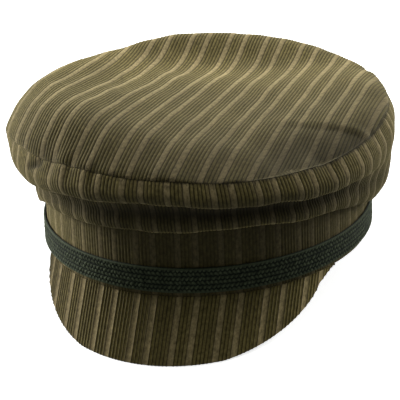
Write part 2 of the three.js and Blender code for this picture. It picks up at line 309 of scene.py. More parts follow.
def ring_wales(out, seed):
    """Wales that run up round a closed ring: (angles, ridge, light, place round the ring)."""
    fine_angles, walked = walk_round(out)
    repeats = round(walked[-1] / (REPEAT_WALES * WALE))
    pitch = walked[-1] / repeats / REPEAT_WALES
    middle = walked[-1] + SIDE_STRIPE_X
    start = middle - pitch * PAIR_HALF
    # A hair short of the whole way round, so that the first wale isn't begun again
    end = start + walked[-1] - WALE_SPARE * pitch
    across, ridge, light = wale_samples(start, end, middle, seed, pitch, fine_steps=5, wide_steps=7)
    angles = np.interp(np.mod(across, walked[-1]), walked, fine_angles)
    return angles, ridge, light, across


# Meshes
def grid_faces(columns, rows, closed, first):
    """Quads of a grid whose points are numbered down each column."""
    last = columns if closed else columns - 1
    column = np.arange(last)[:, None]
    row = np.arange(rows - 1)[None, :]
    here = first + column * rows + row
    beside = first + ((column + 1) % columns) * rows + row
    return np.stack([here, beside, beside + 1, here + 1], axis=-1).reshape(-1, 4)


def cloth_piece(name, grids, material):
    """One object from several grids: {"points", "ridge", "light", "across", "shade", "closed"}.

    Its attribute "paint" holds ridge, light and shade, and "cloth" the places across and along the wales.
    """
    vertices = []
    faces = []
    paint = []
    cloth = []
    count = 0
    for grid in grids:
        points = grid["points"]
        columns, rows = points.shape[:2]
        spread = np.ones((columns, rows))
        steps = np.linalg.norm(np.diff(points, axis=1), axis=-1)
        down = np.concatenate([np.zeros((columns, 1)), np.cumsum(steps, axis=1)], axis=1)
        ridge = spread * np.asarray(grid.get("ridge", np.full(columns, PLAIN_RIDGE)))[:, None]
        light = spread * np.asarray(grid.get("light", np.full(columns, PLAIN_LIGHT)))[:, None]
        across = spread * np.asarray(grid.get("across", np.arange(columns) * WALE))[:, None]
        vertices.append(points.reshape(-1, 3))
        faces.append(grid_faces(columns, rows, grid.get("closed", False), count))
        shade = np.asarray(grid.get("shade", spread))
        paint.append(np.stack([ridge, light, shade, spread], axis=-1).reshape(-1, 4))
        cloth.append(np.stack([across, down, 0 * down], axis=-1).reshape(-1, 3))
        count += columns * rows
    level = np.concatenate(vertices)
    turn = np.array(to_row.to_3x3())
    placed = level @ turn.T + np.array(to_row.translation)
    quads = np.concatenate(faces)
    mesh = bpy.data.meshes.new(name)
    mesh.from_pydata(placed.tolist(), [], quads.tolist())
    mesh.attributes.new("paint", "FLOAT_COLOR", "POINT").data.foreach_set(
        "color", np.concatenate(paint).astype(np.float32).ravel())
    mesh.attributes.new("cloth", "FLOAT_VECTOR", "POINT").data.foreach_set(
        "vector", np.concatenate(cloth).astype(np.float32).ravel())
    mesh.polygons.foreach_set("use_smooth", np.ones(len(quads), dtype=bool))
    mesh.update()
    piece = bpy.data.objects.new(name, mesh)
    bpy.context.scene.collection.objects.link(piece)
    piece.data.materials.append(material)
    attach(piece, "root")
    return piece


# Materials
def fill(made, inputs):
    """Sets a node's inputs that are the same all over the surface."""
    for name, value in inputs.items():
        made.inputs[name].default_value = value


def node(tree, kind, inputs=None, **settings):
    """A new node with its settings and the values of its unlinked inputs."""
    made = tree.nodes.new(kind)
    for key, value in settings.items():
        setattr(made, key, value)
    fill(made, inputs or {})
    return made


def start_material(name, inputs):
    """A material with its node tree, its shader and the two attributes that the meshes carry."""
    material = bpy.data.materials.new(name)
    material.use_nodes = True
    tree = material.node_tree
    shader = tree.nodes["Principled BSDF"]
    fill(shader, inputs)
    paint = node(tree, "ShaderNodeAttribute", attribute_name="paint")
    cloth = node(tree, "ShaderNodeAttribute", attribute_name="cloth")
    parts = node(tree, "ShaderNodeSeparateColor")
    tree.links.new(paint.outputs["Color"], parts.inputs["Color"])
    return material, tree, shader, parts.outputs, cloth.outputs["Vector"]


def stretched(tree, vector, scale):
    """A place on the cloth, scaled across and along it."""
    made = node(tree, "ShaderNodeMapping", {"Scale": scale})
    tree.links.new(vector, made.inputs["Vector"])
    return made.outputs["Vector"]


def noise(tree, vector, inputs):
    """Uneven values from 0 to 1 over the cloth."""
    made = node(tree, "ShaderNodeTexNoise", inputs)
    tree.links.new(vector, made.inputs["Vector"])
    return made.outputs["Fac"]


def ramp(tree, value, low, high):
    """Colours between two stops, each a place from 0 to 1 and a colour."""
    made = node(tree, "ShaderNodeValToRGB")
    for element, (place, colour) in zip(made.color_ramp.elements, (low, high)):
        element.position = place
        element.color = (*colour, 1)
    tree.links.new(value, made.inputs["Fac"])
    return made.outputs["Color"]


def mapped(tree, value, before, after):
    """A value carried from one range to another."""
    made = node(tree, "ShaderNodeMapRange", {
        "From Min": before[0], "From Max": before[1], "To Min": after[0], "To Max": after[1]})
    tree.links.new(value, made.inputs["Value"])
    return made.outputs["Result"]


def finish_material(tree, shader, colour, amount, height, bump):
    """Links the scaled colour and the bump of small relief to the shader."""
    tone = node(tree, "ShaderNodeVectorMath", operation="SCALE")
    tree.links.new(colour, tone.inputs["Vector"])
    tree.links.new(amount, tone.inputs["Scale"])
    tree.links.new(tone.outputs["Vector"], shader.inputs["Base Color"])
    relief = node(tree, "ShaderNodeBump", bump)
    tree.links.new(height, relief.inputs["Height"])
    tree.links.new(relief.outputs["Normal"], shader.inputs["Normal"])


def corduroy_material():
    """Brushed olive-brown wales with paler wide ones, and painted shade in the grooves between them."""
    material, tree, shader, parts, cloth = start_material("corduroy", {
        "Roughness": 0.92,
        "Specular IOR Level": 0.12,
        "Sheen Weight": 0.25,
        "Sheen Roughness": 0.4,
        "Sheen Tint": (0.75, 0.64, 0.3, 1),
    })

    # Short brushed pile, a little longer along the wale than across it
    pile_place = stretched(tree, cloth, (1 / MM, 0.6 / MM, 1))
    pile = noise(tree, pile_place, {"Scale": 0.6, "Detail": 5, "Roughness": 0.7})
    speckle = mapped(tree, pile, (0.3, 0.7), (0.45, 1.55))

    # Broad uneven patches where the pile lies this way or that
    patches = noise(tree, pile_place, {"Scale": 0.05, "Detail": 3})
    drift = mapped(tree, patches, (0.3, 0.7), (0.86, 1.14))

    # Stripe colours, painted shade in the grooves between the wales, and the painted light and shade that
    # the mesh carries
    stripe = ramp(tree, parts["Green"], (0.12, (0.093, 0.074, 0.025)), (1.0, (0.162, 0.127, 0.062)))
    amount = mapped(tree, parts["Red"], (0.1, 0.85), (0.16, 1.0))
    for factor in (speckle, drift, parts["Blue"]):
        times = node(tree, "ShaderNodeMath", operation="MULTIPLY")
        tree.links.new(amount, times.inputs[0])
        tree.links.new(factor, times.inputs[1])
        amount = times.outputs["Value"]
    finish_material(tree, shader, stripe, amount, pile, {"Strength": 0.6, "Distance": 0.25 * MM})
    return material


def braid_material():
    """Dark blue-green mohair braid with a dull lustre on its strands."""
    material, tree, shader, parts, cloth = start_material("braid", {
        "Roughness": 0.75,
        "Specular IOR Level": 0.04,
        "Sheen Weight": 0.02,
        "Sheen Roughness": 0.4,
        "Sheen Tint": (0.6, 0.6, 0.35, 1),
    })
    strands_place = stretched(tree, cloth, (1.2 / MM, 3.5 / MM, 1))
    strands = noise(tree, strands_place, {"Scale": 1.4, "Detail": 3})
    # The colour follows the painted shade: near black in the hollows between the strands, paler on their
    # tops
    colour = ramp(tree, parts["Blue"], (0.15, (0.002, 0.0035, 0.003)), (0.95, (0.09, 0.108, 0.064)))
    fleck = mapped(tree, strands, (0.3, 0.75), (0.45, 1.75))
    finish_material(tree, shader, colour, fleck, strands, {"Strength": 0.5, "Distance": 0.2 * MM})
    return material


def floor_material():
    """Plain pale floor that gives off a little light of its own."""
    material = bpy.data.materials.new("floor")
    material.use_nodes = True
    fill(material.node_tree.nodes["Principled BSDF"], {
        "Base Color": (0.9, 0.9, 0.89, 1),
        "Roughness": 0.9,
        "Emission Color": (1, 1, 1, 1),
        "Emission Strength": 0.7,
    })
    return material


# Top seam, gathers and small waves of the crown's cloth

# Places where the cloth is gathered in at the top seam: angle and width in degrees, depth in millimetres
puckers = [
    {"angle": 324, "width": 3.5, "depth": 1.5},
    {"angle": 329, "width": 2.0, "depth": 1.2},
    {"angle": 336, "width": 1.6, "depth": 0.9},
    {"angle": 344, "width": 1.5, "depth": 0.8},
    {"angle": 52, "width": 2.5, "depth": 0.9},
    {"angle": 75, "width": 2.0, "depth": 0.7},
    {"angle": 128, "width": 2.5, "depth": 1.0},
    {"angle": 190, "width": 3.0, "depth": 0.9},
    {"angle": 248, "width": 2.5, "depth": 1.1},
]
PUCKER_REACH = 8 * MM
GATHER_DROP = 1.2
GATHER_SHADE = 0.15
SEAM_LINE = 0.32
SEAM_LINE_RIGHT = 0.45
SEAM_LINE_WIDTH = 0.9 * MM
SEAM_PULL = 0.15 * MM
SEAM_REACH = 1.0 * MM
SEAM_FLATTENS = 0.7
SEAM_CALMS = 0.8
CRUSHED_REACH = 3.2 * MM
CRUSHED_SPREAD = 0.28
SHADE_LIMITS = (0.1, 1.6)
WAVE_COUNT = 9
WAVE_LENGTHS = (16 * MM, 45 * MM)
WAVE_HEIGHT = 0.28 * MM
WAVE_SEED = 31

# Top panel
# Painted shade over the top panel: darker to the front, lighter at the back, darker to the right and in the
# right front fold
TOP_SHADE_PLACES = (-0.8, 0, 0.6)
TOP_PAINTED_SHADES = (0.6, 0.77, 1.2)
TOP_SHADE_SIDE = 0.15
CREASE_START = 42 * MM
CREASE_FADE = 16 * MM
CREASE_Y = -33 * MM
CREASE_EDGE = 5 * MM
CREASE_SHADE = 0.2
CREASE_DEPTH = 1.2 * MM
TOP_ROWS = 120
RIM_ROUNDS = 6
HALVINGS = 40
BEYOND_RIM = 1.3

# The stripes' walk and the columns stop just short of the rim, and the back just short of the middle too
WALK_SHARE = 0.9999
WALK_POINTS = 3001
EDGE_SPARE = 0.1 * MM
COLUMN_SHARE = 0.9995
TOP_BACK_ROWS = 16
TOP_BACK_COLUMN = 4.0
TOP_BACK_SHARES = (0.004, 0.995)

# The top panel's rim, a seam's gap beyond the outer face of the side crown's upper edge
rim_angles = np.arange(0, 361, 1.0)
rim_lines = smooth_lines(crown_corners(rim_angles), steps=2)
rim_along = rim_lines[:, -1] - rim_lines[:, -2]
rim_along /= np.linalg.norm(rim_along, axis=-1, keepdims=True)
rim_outer = offset_lines(rim_lines, CROWN_THICKNESS / 2)[:, -1] + rim_along * SEAM_GAP


def seam_shade(distance, angle, gathered, seed):
    """Shade next to the top seam: a line, darkest at the right, crushed uneven pile, and dark gathers."""
    rng = np.random.default_rng(seed)
    dark = SEAM_LINE + SEAM_LINE_RIGHT * np.sin(np.radians(angle))
    line = dark * near(distance, SEAM_LINE_WIDTH)
    crushed = near(distance, CRUSHED_REACH) * rng.normal(0, CRUSHED_SPREAD, distance.shape)
    return np.clip(1 - line + crushed, *SHADE_LIMITS) * (1 - GATHER_SHADE * gathered / MM)


def seam_lift(ridge, depth, distance):
    """How far the wales stand out next to the top seam, which flattens them and pulls the cloth in."""
    pulled = near(distance, SEAM_REACH)
    return depth * (ridge[:, None] - WALE_FOOT) * (1 - SEAM_FLATTENS * pulled) - SEAM_PULL * pulled


def soft_waves(points):
    """Small uneven waves of soft cloth, as a distance along its normals."""
    rng = np.random.default_rng(WAVE_SEED)
    total = np.zeros(points.shape[:-1])
    for _ in range(WAVE_COUNT):
        direction = rng.normal(size=3)
        direction *= 2 * math.pi / (np.linalg.norm(direction) * rng.uniform(*WAVE_LENGTHS))
        total += np.sin(points @ direction + rng.uniform(0, 2 * math.pi))
    return WAVE_HEIGHT * total / math.sqrt(WAVE_COUNT)


def seam_puckers(angle, distance):
    """How deep the cloth is gathered in at the top seam, at an angle and a distance from the seam."""
    depth = np.zeros(np.broadcast(angle, distance).shape)
    for pucker in puckers:
        depth += pucker["depth"] * near(turned_from(angle, pucker["angle"]), pucker["width"])
    return MM * depth * near(distance, PUCKER_REACH)


def gather(points, angle, depth):
    """Moves points down and in towards the middle by a depth, the same way on both sides of the seam."""
    inward = inward_at(angle, -GATHER_DROP)
    inward /= np.linalg.norm(inward, axis=-1, keepdims=True)
    return points + inward * depth[..., None]


def crease_share(x, y):
    """How far a place lies in the shallow fold at the top's right front, from 0 to 1."""
    along = np.clip((x - CREASE_START) / CREASE_FADE, 0, 1)
    return along * np.clip((CREASE_Y - y) / CREASE_EDGE, 0, 1)


def painted_top_shade(x, y):
    """Painted shade of the top panel: darker to the front and to the right, lighter at the back, and darker
    in the right front fold.
    """
    shade_along = np.interp(y / HALF_LENGTH, TOP_SHADE_PLACES, TOP_PAINTED_SHADES)
    return shade_along - TOP_SHADE_SIDE * x / HALF_WIDTH - CREASE_SHADE * crease_share(x, y)


def swell_height(x, y):
    """Height of the top panel's swells above the front seam."""
    across = x / (HALF_WIDTH + CROWN_OVERHANG)
    along = y / (HALF_LENGTH + CROWN_OVERHANG)
    heights = []
    for section in top_sections:
        row = np.repeat(np.array(section["height"])[:, None], x.size, axis=1)
        heights.append(smooth_through(row, top_along[0], top_along[1] - top_along[0], along))
    spacing = top_sections[1]["across"] - top_sections[0]["across"]
    return TOP_SWELL * smooth_through(np.array(heights), top_sections[0]["across"], spacing, across)


def rim_at(x, y):
    """For a point in plan: its angle, the rim's plan radius in that direction, and the rim's height."""
    out = np.full(x.shape, rim_outer[:, 0].mean())
    for _ in range(RIM_ROUNDS):
        angle = np.degrees(np.arctan2(x / (HALF_WIDTH + out), -y / (HALF_LENGTH + out))) % 360
        out = np.interp(angle, rim_angles, rim_outer[:, 0])
    rim = oval_points(angle, out, 0.0)
    return angle, np.hypot(rim[:, 0], rim[:, 1]), np.interp(angle, rim_angles, rim_outer[:, 1])


def top_surface(x, y):
    """Height of the top panel's outer face, the distance in from its rim, and the angle round the cap."""
    angle, radius, edge = rim_at(x, y)
    share = np.clip(1 - np.hypot(x, y) / radius, 0, 1)
    forward = frontness(angle)
    roll = TOP_ROLL_BACK + (TOP_ROLL_FRONT - TOP_ROLL_BACK) * forward
    roundness = TOP_ROUND_BACK + (TOP_ROUND_FRONT - TOP_ROUND_BACK) * forward
    rolled = 1 - np.minimum(share / roll, 1)
    rise = CROWN_BOTTOM + CROWN_HEIGHT + swell_height(x, y) - edge
    height = edge + rise * (1 - rolled**2) ** roundness
    inward = np.hypot(share * radius, height - edge)
    return height, inward, angle


def line_ends(x_middle):
    """The plan y of both ends of a stripe line, where it meets the rim."""
    ends = []
    for side in (-1, 1):
        low = np.zeros_like(x_middle)
        high = np.full_like(x_middle, BEYOND_RIM * (HALF_LENGTH + CROWN_OVERHANG))
        for _ in range(HALVINGS):
            y = (low + high) / 2
            x = x_middle + TOP_TURN * side * y
            _, radius, _ = rim_at(x, side * y)
            inside = np.hypot(x, y) < radius
            low = np.where(inside, y, low)
            high = np.where(inside, high, y)
        ends.append(side * low)
    return ends


def top_stripes():
    """Stripe lines of the top panel where they cross its middle, by a walk over it from left to right."""
    theta = np.linspace(-math.pi / 2, math.pi / 2, WALK_POINTS)
    right = rim_outer[90, 0] + HALF_WIDTH
    left = rim_outer[270, 0] + HALF_WIDTH
    x = (right - left) / 2 + (right + left) / 2 * WALK_SHARE * np.sin(theta)
    height = top_surface(x, np.zeros_like(x))[0]
    walked = walk(np.stack([x, height], axis=-1))
    middle = np.interp(TOP_STRIPE_X, x, walked)
    across, ridge, light = wale_samples(EDGE_SPARE, walked[-1] - EDGE_SPARE, middle, seed=3)
    return np.interp(across, walked, x), across, ridge, light


def top_skin():
    """The top panel's outer face, in columns along its stripes."""
    x_middle, across, ridge, light = top_stripes()
    front, back = line_ends(x_middle)
    turn = np.linspace(-math.pi / 2, math.pi / 2, TOP_ROWS)
    reach = (back - front)[:, None] / 2 * np.sin(turn)[None, :] * COLUMN_SHARE
    y = (front + back)[:, None] / 2 + reach
    x = x_middle[:, None] + TOP_TURN * y
    height, inward, angle = (found.reshape(x.shape) for found in top_surface(x.ravel(), y.ravel()))
    points = np.stack([x, y, height], axis=-1)
    gathered = seam_puckers(angle, inward)
    pulled = near(inward, SEAM_REACH)
    lift = seam_lift(ridge, WALE_DEPTH, inward)
    lift += soft_waves(points) * (1 - SEAM_CALMS * pulled)
    lift -= CREASE_DEPTH * crease_share(x, y) * (1 - pulled)
    outer = gather(points + surface_normals(points) * lift[..., None], angle, gathered)
    # Painted shade along the top seam and over the top panel
    shade = seam_shade(inward, angle, gathered, seed=22) * painted_top_shade(x, y)
    return {"points": outer, "ridge": ridge, "light": light, "across": across, "shade": shade}


def top_backing():
    """The plain back of the top panel, seen from below, in columns from the rim to the middle."""
    ring_angles = np.arange(0, 360, TOP_BACK_COLUMN)
    shares = 1 - np.cos(np.linspace(0, math.pi / 2, TOP_BACK_ROWS))
    shares[[0, -1]] = TOP_BACK_SHARES
    rim = oval_points(ring_angles, np.interp(ring_angles, rim_angles, rim_outer[:, 0]), 0.0)
    plan = rim[:, None, :2] * (1 - shares)[None, :, None]
    under = top_surface(plan[..., 0].ravel(), plan[..., 1].ravel())[0]
    backing = np.concatenate([plan, under.reshape(len(ring_angles), TOP_BACK_ROWS, 1)], axis=-1)
    backing -= surface_normals(backing, closed=True) * TOP_THICKNESS
    return {"points": backing[::-1], "closed": True}


def top_panel(material):
    piece = cloth_piece("cap_top", [top_skin(), top_backing()], material)
    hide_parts("top_panel")


# Side crown
CROWN_ROWS = 46
CROWN_BACK_ROWS = 24
CROWN_WALE_RING = CROWN_OVERHANG * 0.75 + BAND_THICKNESS
CROWN_TWIST = 2.5
CROWN_RELIEF = 0.3 * MM
LOOSE_REACH = 8 * MM

# The pinch is a groove that starts at the top seam and slants down to the left
PINCH_START = 324
PINCH_DEGREE = 1.9 * MM
PINCH_TURN = math.radians(25)
PINCH_BELOW = 1.5 * MM
PINCH_LENGTH = 14 * MM
PINCH_WIDTH = 2.2 * MM
PINCH_DEPTH = 1.4 * MM
PINCH_SHADE = 0.6

# Painted highlights along the two folds and painted shade in the hollow between them, at their columns in
# the section table
FOLD_COLUMNS = (3, 7)
FOLD_HIGHLIGHTS = (3.5, 2.0)
FOLD_WIDTH = 0.8 * MM
FOLD_OVERHANG = 1.4 * MM
HOLLOW_COLUMN = 5
HOLLOW_WIDTH = 7 * MM
HOLLOW_SHADE = 0.88
HOLLOW_ANGLE = 20

# The seam allowance turns in under the top panel, painted dark as the shade in the gap under its rim
FLAP_REACHES = (2 * MM, 5 * MM, 9 * MM)
FLAP_RISE = 0.09
FLAP_SHADE = 0.3


def twisted(angles, face):
    """Lets the wales lean to one side on their way down from the top seam."""
    down = np.linspace(1, 0, face.shape[1])
    turned = np.empty_like(face)
    places = angles[:, None] + CROWN_TWIST * down[None, :]
    order = np.argsort(angles)
    for row in range(face.shape[1]):
        for measure in range(2):
            turned[:, row, measure] = np.interp(
                places[:, row], angles[order], face[order, row, measure], period=360)
    return places, turned


def painted_fold_light_and_shade(angles, face, from_top):
    """Painted highlights along the two folded edges, and painted shade in the hollow between them."""
    corners = crown_corners(angles)

    def from_column(column):
        """How far each point lies from a column of the section table, along the cloth."""
        apart = np.linalg.norm(face - corners[:, column][:, None], axis=-1)
        nearest = np.argmin(apart, axis=1)
        return from_top - np.take_along_axis(from_top, nearest[:, None], axis=1)

    shade = np.ones(from_top.shape)
    for column, strength in zip(FOLD_COLUMNS, FOLD_HIGHLIGHTS):
        overhang = (corners[:, column - 1, 1] - corners[:, column, 1]) / FOLD_OVERHANG
        folded = np.clip(overhang, 0, 1) * frontness(angles)
        shade += strength * folded[:, None] * near(from_column(column), FOLD_WIDTH)
    faced = frontness(angles, HOLLOW_ANGLE)[:, None] ** 2
    return shade * (1 - HOLLOW_SHADE * faced * near(from_column(HOLLOW_COLUMN), HOLLOW_WIDTH))


def pinch_share(places, from_top):
    """How far a place lies in the slanting pinch at the left front, from 0 to 1."""
    leftward = -turned_from(places, PINCH_START) * PINCH_DEGREE
    along = leftward * math.cos(PINCH_TURN) + from_top * math.sin(PINCH_TURN)
    beside = from_top * math.cos(PINCH_TURN) - leftward * math.sin(PINCH_TURN) - PINCH_BELOW
    middle = (along - PINCH_LENGTH / 2) / (PINCH_LENGTH / 2)
    return np.exp(-(middle**4)) * near(beside, PINCH_WIDTH)


def crown_skin():
    """The side crown's outer face in columns up its wales, with the seam allowance under the top panel."""
    angles, ridge, light, across = ring_wales(CROWN_WALE_RING, seed=5)
    lines = smooth_lines(crown_corners(angles), steps=8)
    face = resample(offset_lines(lines, CROWN_THICKNESS / 2), CROWN_ROWS)
    places, face = twisted(angles, face)
    points = oval_points(places, face[..., 0], face[..., 1])
    length = np.linalg.norm(np.diff(face, axis=1), axis=-1)
    from_top = np.flip(np.cumsum(np.flip(length, axis=1), axis=1), axis=1)
    from_top = np.concatenate([from_top, np.zeros((len(angles), 1))], axis=1)
    loose = np.clip((from_top[:, :1] - from_top) / LOOSE_REACH, 0, 1)
    pinch = pinch_share(places, from_top)
    gathered = seam_puckers(places, from_top) + PINCH_DEPTH * pinch
    lift = seam_lift(ridge, CROWN_RELIEF, from_top)
    lift += soft_waves(points) * loose * (1 - SEAM_CALMS * near(from_top, SEAM_REACH))
    normals = surface_normals(points, closed=True)
    outer = gather(points + normals * lift[..., None], places, gathered)
    # Painted shade at the seam, painted highlights on the folds and painted shade in the hollow
    shade = seam_shade(from_top, places, gathered, seed=21) * painted_fold_light_and_shade(angles, face, from_top)
    # Painted shade in the pinch's groove
    shade *= 1 - PINCH_SHADE * pinch

    inward = inward_at(angles, FLAP_RISE)
    flap = [outer[:, -1] + inward * reach for reach in FLAP_REACHES]
    outer = np.concatenate([outer, np.stack(flap, axis=1)], axis=1)
    shade = np.concatenate([shade, np.full((len(angles), len(flap)), FLAP_SHADE)], axis=1)
    return {
        "points": outer, "ridge": ridge, "light": light,
        "across": across, "shade": shade, "closed": True,
    }


def crown_backing():
    """The plain back of the side crown."""
    angles = np.arange(0, 360, BACK_COLUMN)
    lines = smooth_lines(crown_corners(angles), steps=4)
    back = resample(offset_lines(lines, -CROWN_THICKNESS / 2), CROWN_BACK_ROWS)
    inner = oval_points(angles[:, None], back[..., 0], back[..., 1])
    return {"points": inner[::-1], "closed": True}


def side_crown(material):
    piece = cloth_piece("cap_side", [crown_skin(), crown_backing()], material)
    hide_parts("side_crown")


# Head band
BAND_ROWS = 14
BAND_RELIEF = 0.6
BAND_SINK = 0.5
# Least ridge value of the band's wales, so that its grooves take less painted shade
BAND_GROOVE_LIFT = 0.4
BAND_LIGHT = 0.75

# Shares of the band's thickness across its hem and up its back
HEM_OUT = (1, 0.5, 0, 0)

# Painted light and shade: the band is darker where it faces front and right, lighter at the left and back,
# and darker up under the crown's overhang
BAND_SHADE_FRONT = 0.3
BAND_SHADE_RIGHT = 0.25
BAND_SHADE_UPPER = 0.2
BAND_SHADE_MOST = 1.1


def rest_plane(y):
    """Height, in the level cap, of the plane that the cap rests on."""
    return FLOOR_TRIM - math.tan(TILT) * (BAND_HALF_LENGTH - y)


def band_bottom(angles):
    """Height of the band's lower edge, which the resting plane trims at the back."""
    return np.maximum(0, rest_plane(oval_points(angles, BAND_THICKNESS, 0.0)[:, 1]))


def band_shade(angles, share):
    """Shade of the band round the cap and up its height."""
    turned = np.radians(angles)
    faced = 1 - BAND_SHADE_FRONT * np.cos(turned) - BAND_SHADE_RIGHT * np.sin(turned)
    upper = 1 - BAND_SHADE_UPPER * share**2
    return np.minimum(faced, BAND_SHADE_MOST)[:, None] * upper[None, :]


def band_skin():
    """The band's outer face, in columns up its wales."""
    angles, ridge, light, across = ring_wales(BAND_THICKNESS, seed=7)
    share = np.linspace(0, 1, BAND_ROWS)
    bottom = band_bottom(angles)[:, None]
    up = bottom + (BAND_HEIGHT - bottom) * share[None, :]
    lift = WALE_DEPTH * (ridge * BAND_RELIEF - BAND_SINK)
    return {
        "points": oval_points(angles[:, None], BAND_THICKNESS + lift[:, None], up),
        "ridge": BAND_GROOVE_LIFT + (1 - BAND_GROOVE_LIFT) * ridge,
        "light": BAND_LIGHT * light,
        "across": across,
        "shade": band_shade(angles, share),
        "closed": True,
    }


def band_backing():
    """The band's hem and plain back."""
    angles = np.arange(0, 360, BACK_COLUMN)
    low = band_bottom(angles)
    hem_up = np.stack([low, low, low, np.full_like(low, BAND_HEIGHT)], axis=1)
    inner = oval_points(angles[:, None], BAND_THICKNESS * np.array(HEM_OUT), hem_up)
    return {"points": inner[::-1], "closed": True}


def head_band(material):
    piece = cloth_piece("cap_band", [band_skin(), band_backing()], material)
    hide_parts("head_band")


# Braid
BRAID_RIDGES = 6
BRAID_ROWS = 43
PLAIT_PITCH = 2.4 * MM
PLAIT_COLUMNS = 6
PLAIT_SLIP = 0.6
PLAIT_FULLNESS = (0.65, 1.1)
PLAIT_LEAST = 0.4
LANE_WAVER = 0.12
LANE_ROUNDNESS = 0.6

# The selvedge is a plain cord along both edges
SELVEDGE_WIDTH = 1.1 * MM
SELVEDGE_MIDDLE = 0.7 * MM
SELVEDGE_HALF = 0.5 * MM
SELVEDGE_HEIGHT = 0.75
SELVEDGE_STRANDS = 0.1

# Thickness under the strands at the edges and what is added inside them, as shares of the braid's thickness,
# then how far the strands stand up and how wide the edges are rounded
BRAID_BASE = 0.35
BRAID_BODY = 0.4
BRAID_RELIEF = 0.55 * MM
BRAID_ROUNDING = 0.5 * MM

# Painted light: the braid is a little brighter at the front, round an angle
BRAID_BRIGHT_ANGLE = 8
BRAID_BRIGHT_REACH = 38
BRAID_BRIGHTER = 0.2


def from_braid_edge(share):
    """Distance from the braid's nearer edge, at shares of the way across it."""
    return np.minimum(share, 1 - share) * BRAID_WIDTH


def plait_height(plaits, share):
    """Height of the plaited strands, from 0 to about 1, in columns round the braid."""
    turn = (np.arange(plaits * PLAIT_COLUMNS) / PLAIT_COLUMNS)[:, None] * 2 * math.pi
    lane = share * BRAID_RIDGES + LANE_WAVER * np.sin(turn)
    row = np.clip(np.floor(lane), 0, BRAID_RIDGES).astype(int)
    side = np.where(row % 2 == 0, 1.0, -1.0)
    rng = np.random.default_rng(17)

    def for_each_strand(values):
        """Spreads one value for each plait and row over all its points."""
        return np.take_along_axis(np.repeat(values, PLAIT_COLUMNS, axis=0), row, axis=1)

    slip = for_each_strand(rng.normal(0, PLAIT_SLIP, (plaits, BRAID_RIDGES + 1)))
    full = for_each_strand(rng.uniform(*PLAIT_FULLNESS, (plaits, BRAID_RIDGES + 1)))
    strand = 0.5 + 0.5 * np.cos(turn + slip + side * (lane % 1) * math.pi)
    cord = np.abs(np.sin(math.pi * lane)) ** LANE_ROUNDNESS
    plaited = cord * (PLAIT_LEAST + (1 - PLAIT_LEAST) * strand) * full
    edge = from_braid_edge(share)
    selvedge = SELVEDGE_HEIGHT * near(edge - SELVEDGE_MIDDLE, SELVEDGE_HALF) + SELVEDGE_STRANDS * strand
    return np.where(edge < SELVEDGE_WIDTH, selvedge, plaited)


def braid(material):
    round_length = walk_round(BAND_THICKNESS)[1][-1]
    plaits = round(round_length / PLAIT_PITCH)
    columns = plaits * PLAIT_COLUMNS
    angles = np.arange(columns) * 360 / columns
    share = np.linspace(0, 1, BRAID_ROWS)
    height = plait_height(plaits, share)
    falloff = np.clip(from_braid_edge(share) / BRAID_ROUNDING, 0, 1)
    ground = BAND_THICKNESS + SEAM_GAP + BRAID_THICKNESS * (BRAID_BASE + BRAID_BODY * falloff)
    out = ground + BRAID_RELIEF * height * falloff
    bright = near(turned_from(angles, BRAID_BRIGHT_ANGLE), BRAID_BRIGHT_REACH)
    skin = {
        "points": oval_points(angles[:, None], out, BRAID_HEM + share * BRAID_WIDTH),
        "across": angles / 360 * round_length,
        # Painted shade from the strands' height, darkest in the hollows, with painted light at the front
        "shade": height * (1 - BRAID_BRIGHTER + BRAID_BRIGHTER * bright[:, None]),
        "closed": True,
    }
    piece = cloth_piece("cap_braid", [skin], material)
    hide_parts("braid")


# Peak
PEAK_DOWN = np.array([0, -math.cos(PEAK_SLOPE), -math.sin(PEAK_SLOPE)])
PEAK_SPARE = 1.2 * MM
PEAK_WALK_POINTS = 2001
PEAK_WALE_SINK = 0.5
# Painted light and shade on the peak: brighter all over, most to the right, a little darker at the far left
PEAK_SHADE = 1.3
PEAK_SHADE_RIGHT = 0.5

# The right end has a rounder corner, and a straight tail that tapers off between two angles
PEAK_RIGHT_CORNER = 2.25
PEAK_TAIL_ANGLES = (50, 64)
PEAK_TAIL_LENGTH = 16 * MM
PEAK_TAIL_END = 0.8 * MM

# Rows of points down the face, round the edge in two bends, and up the underside
PEAK_ROWS = 26
PEAK_FACE_BEND_ROWS = 5
PEAK_BACK_BEND_ROWS = 4
PEAK_BACK_ROWS = 8
PEAK_BEND = 1.6 * MM
PEAK_BEND_SHARE = 0.4
PEAK_END_RIDGE = 0.5
PEAK_END_LIGHT = 0.1


def length_to_rest(points):
    """How far each point may go along the peak's slope before it meets the resting plane."""
    fall = math.sin(PEAK_SLOPE) - math.tan(TILT) * math.cos(PEAK_SLOPE)
    return (points[:, 2] - rest_plane(points[:, 1])) / fall


def peak_stripes():
    """Angles where the peak's wales leave the band, with their ridge, lightness and place across."""
    fine_angles = np.linspace(-PEAK_HALF_ANGLE, PEAK_TAIL_ANGLES[1], PEAK_WALK_POINTS)
    fine_root = oval_points(fine_angles, BAND_THICKNESS, -SEAM_GAP)
    walked = walk(fine_root - (fine_root @ PEAK_DOWN)[:, None] * PEAK_DOWN)
    middle = np.interp(SIDE_STRIPE_X, fine_root[:, 0], walked)
    across, ridge, light = wale_samples(0, walked[-1], middle, seed=9)
    return np.interp(across, walked, fine_angles), ridge, light, across


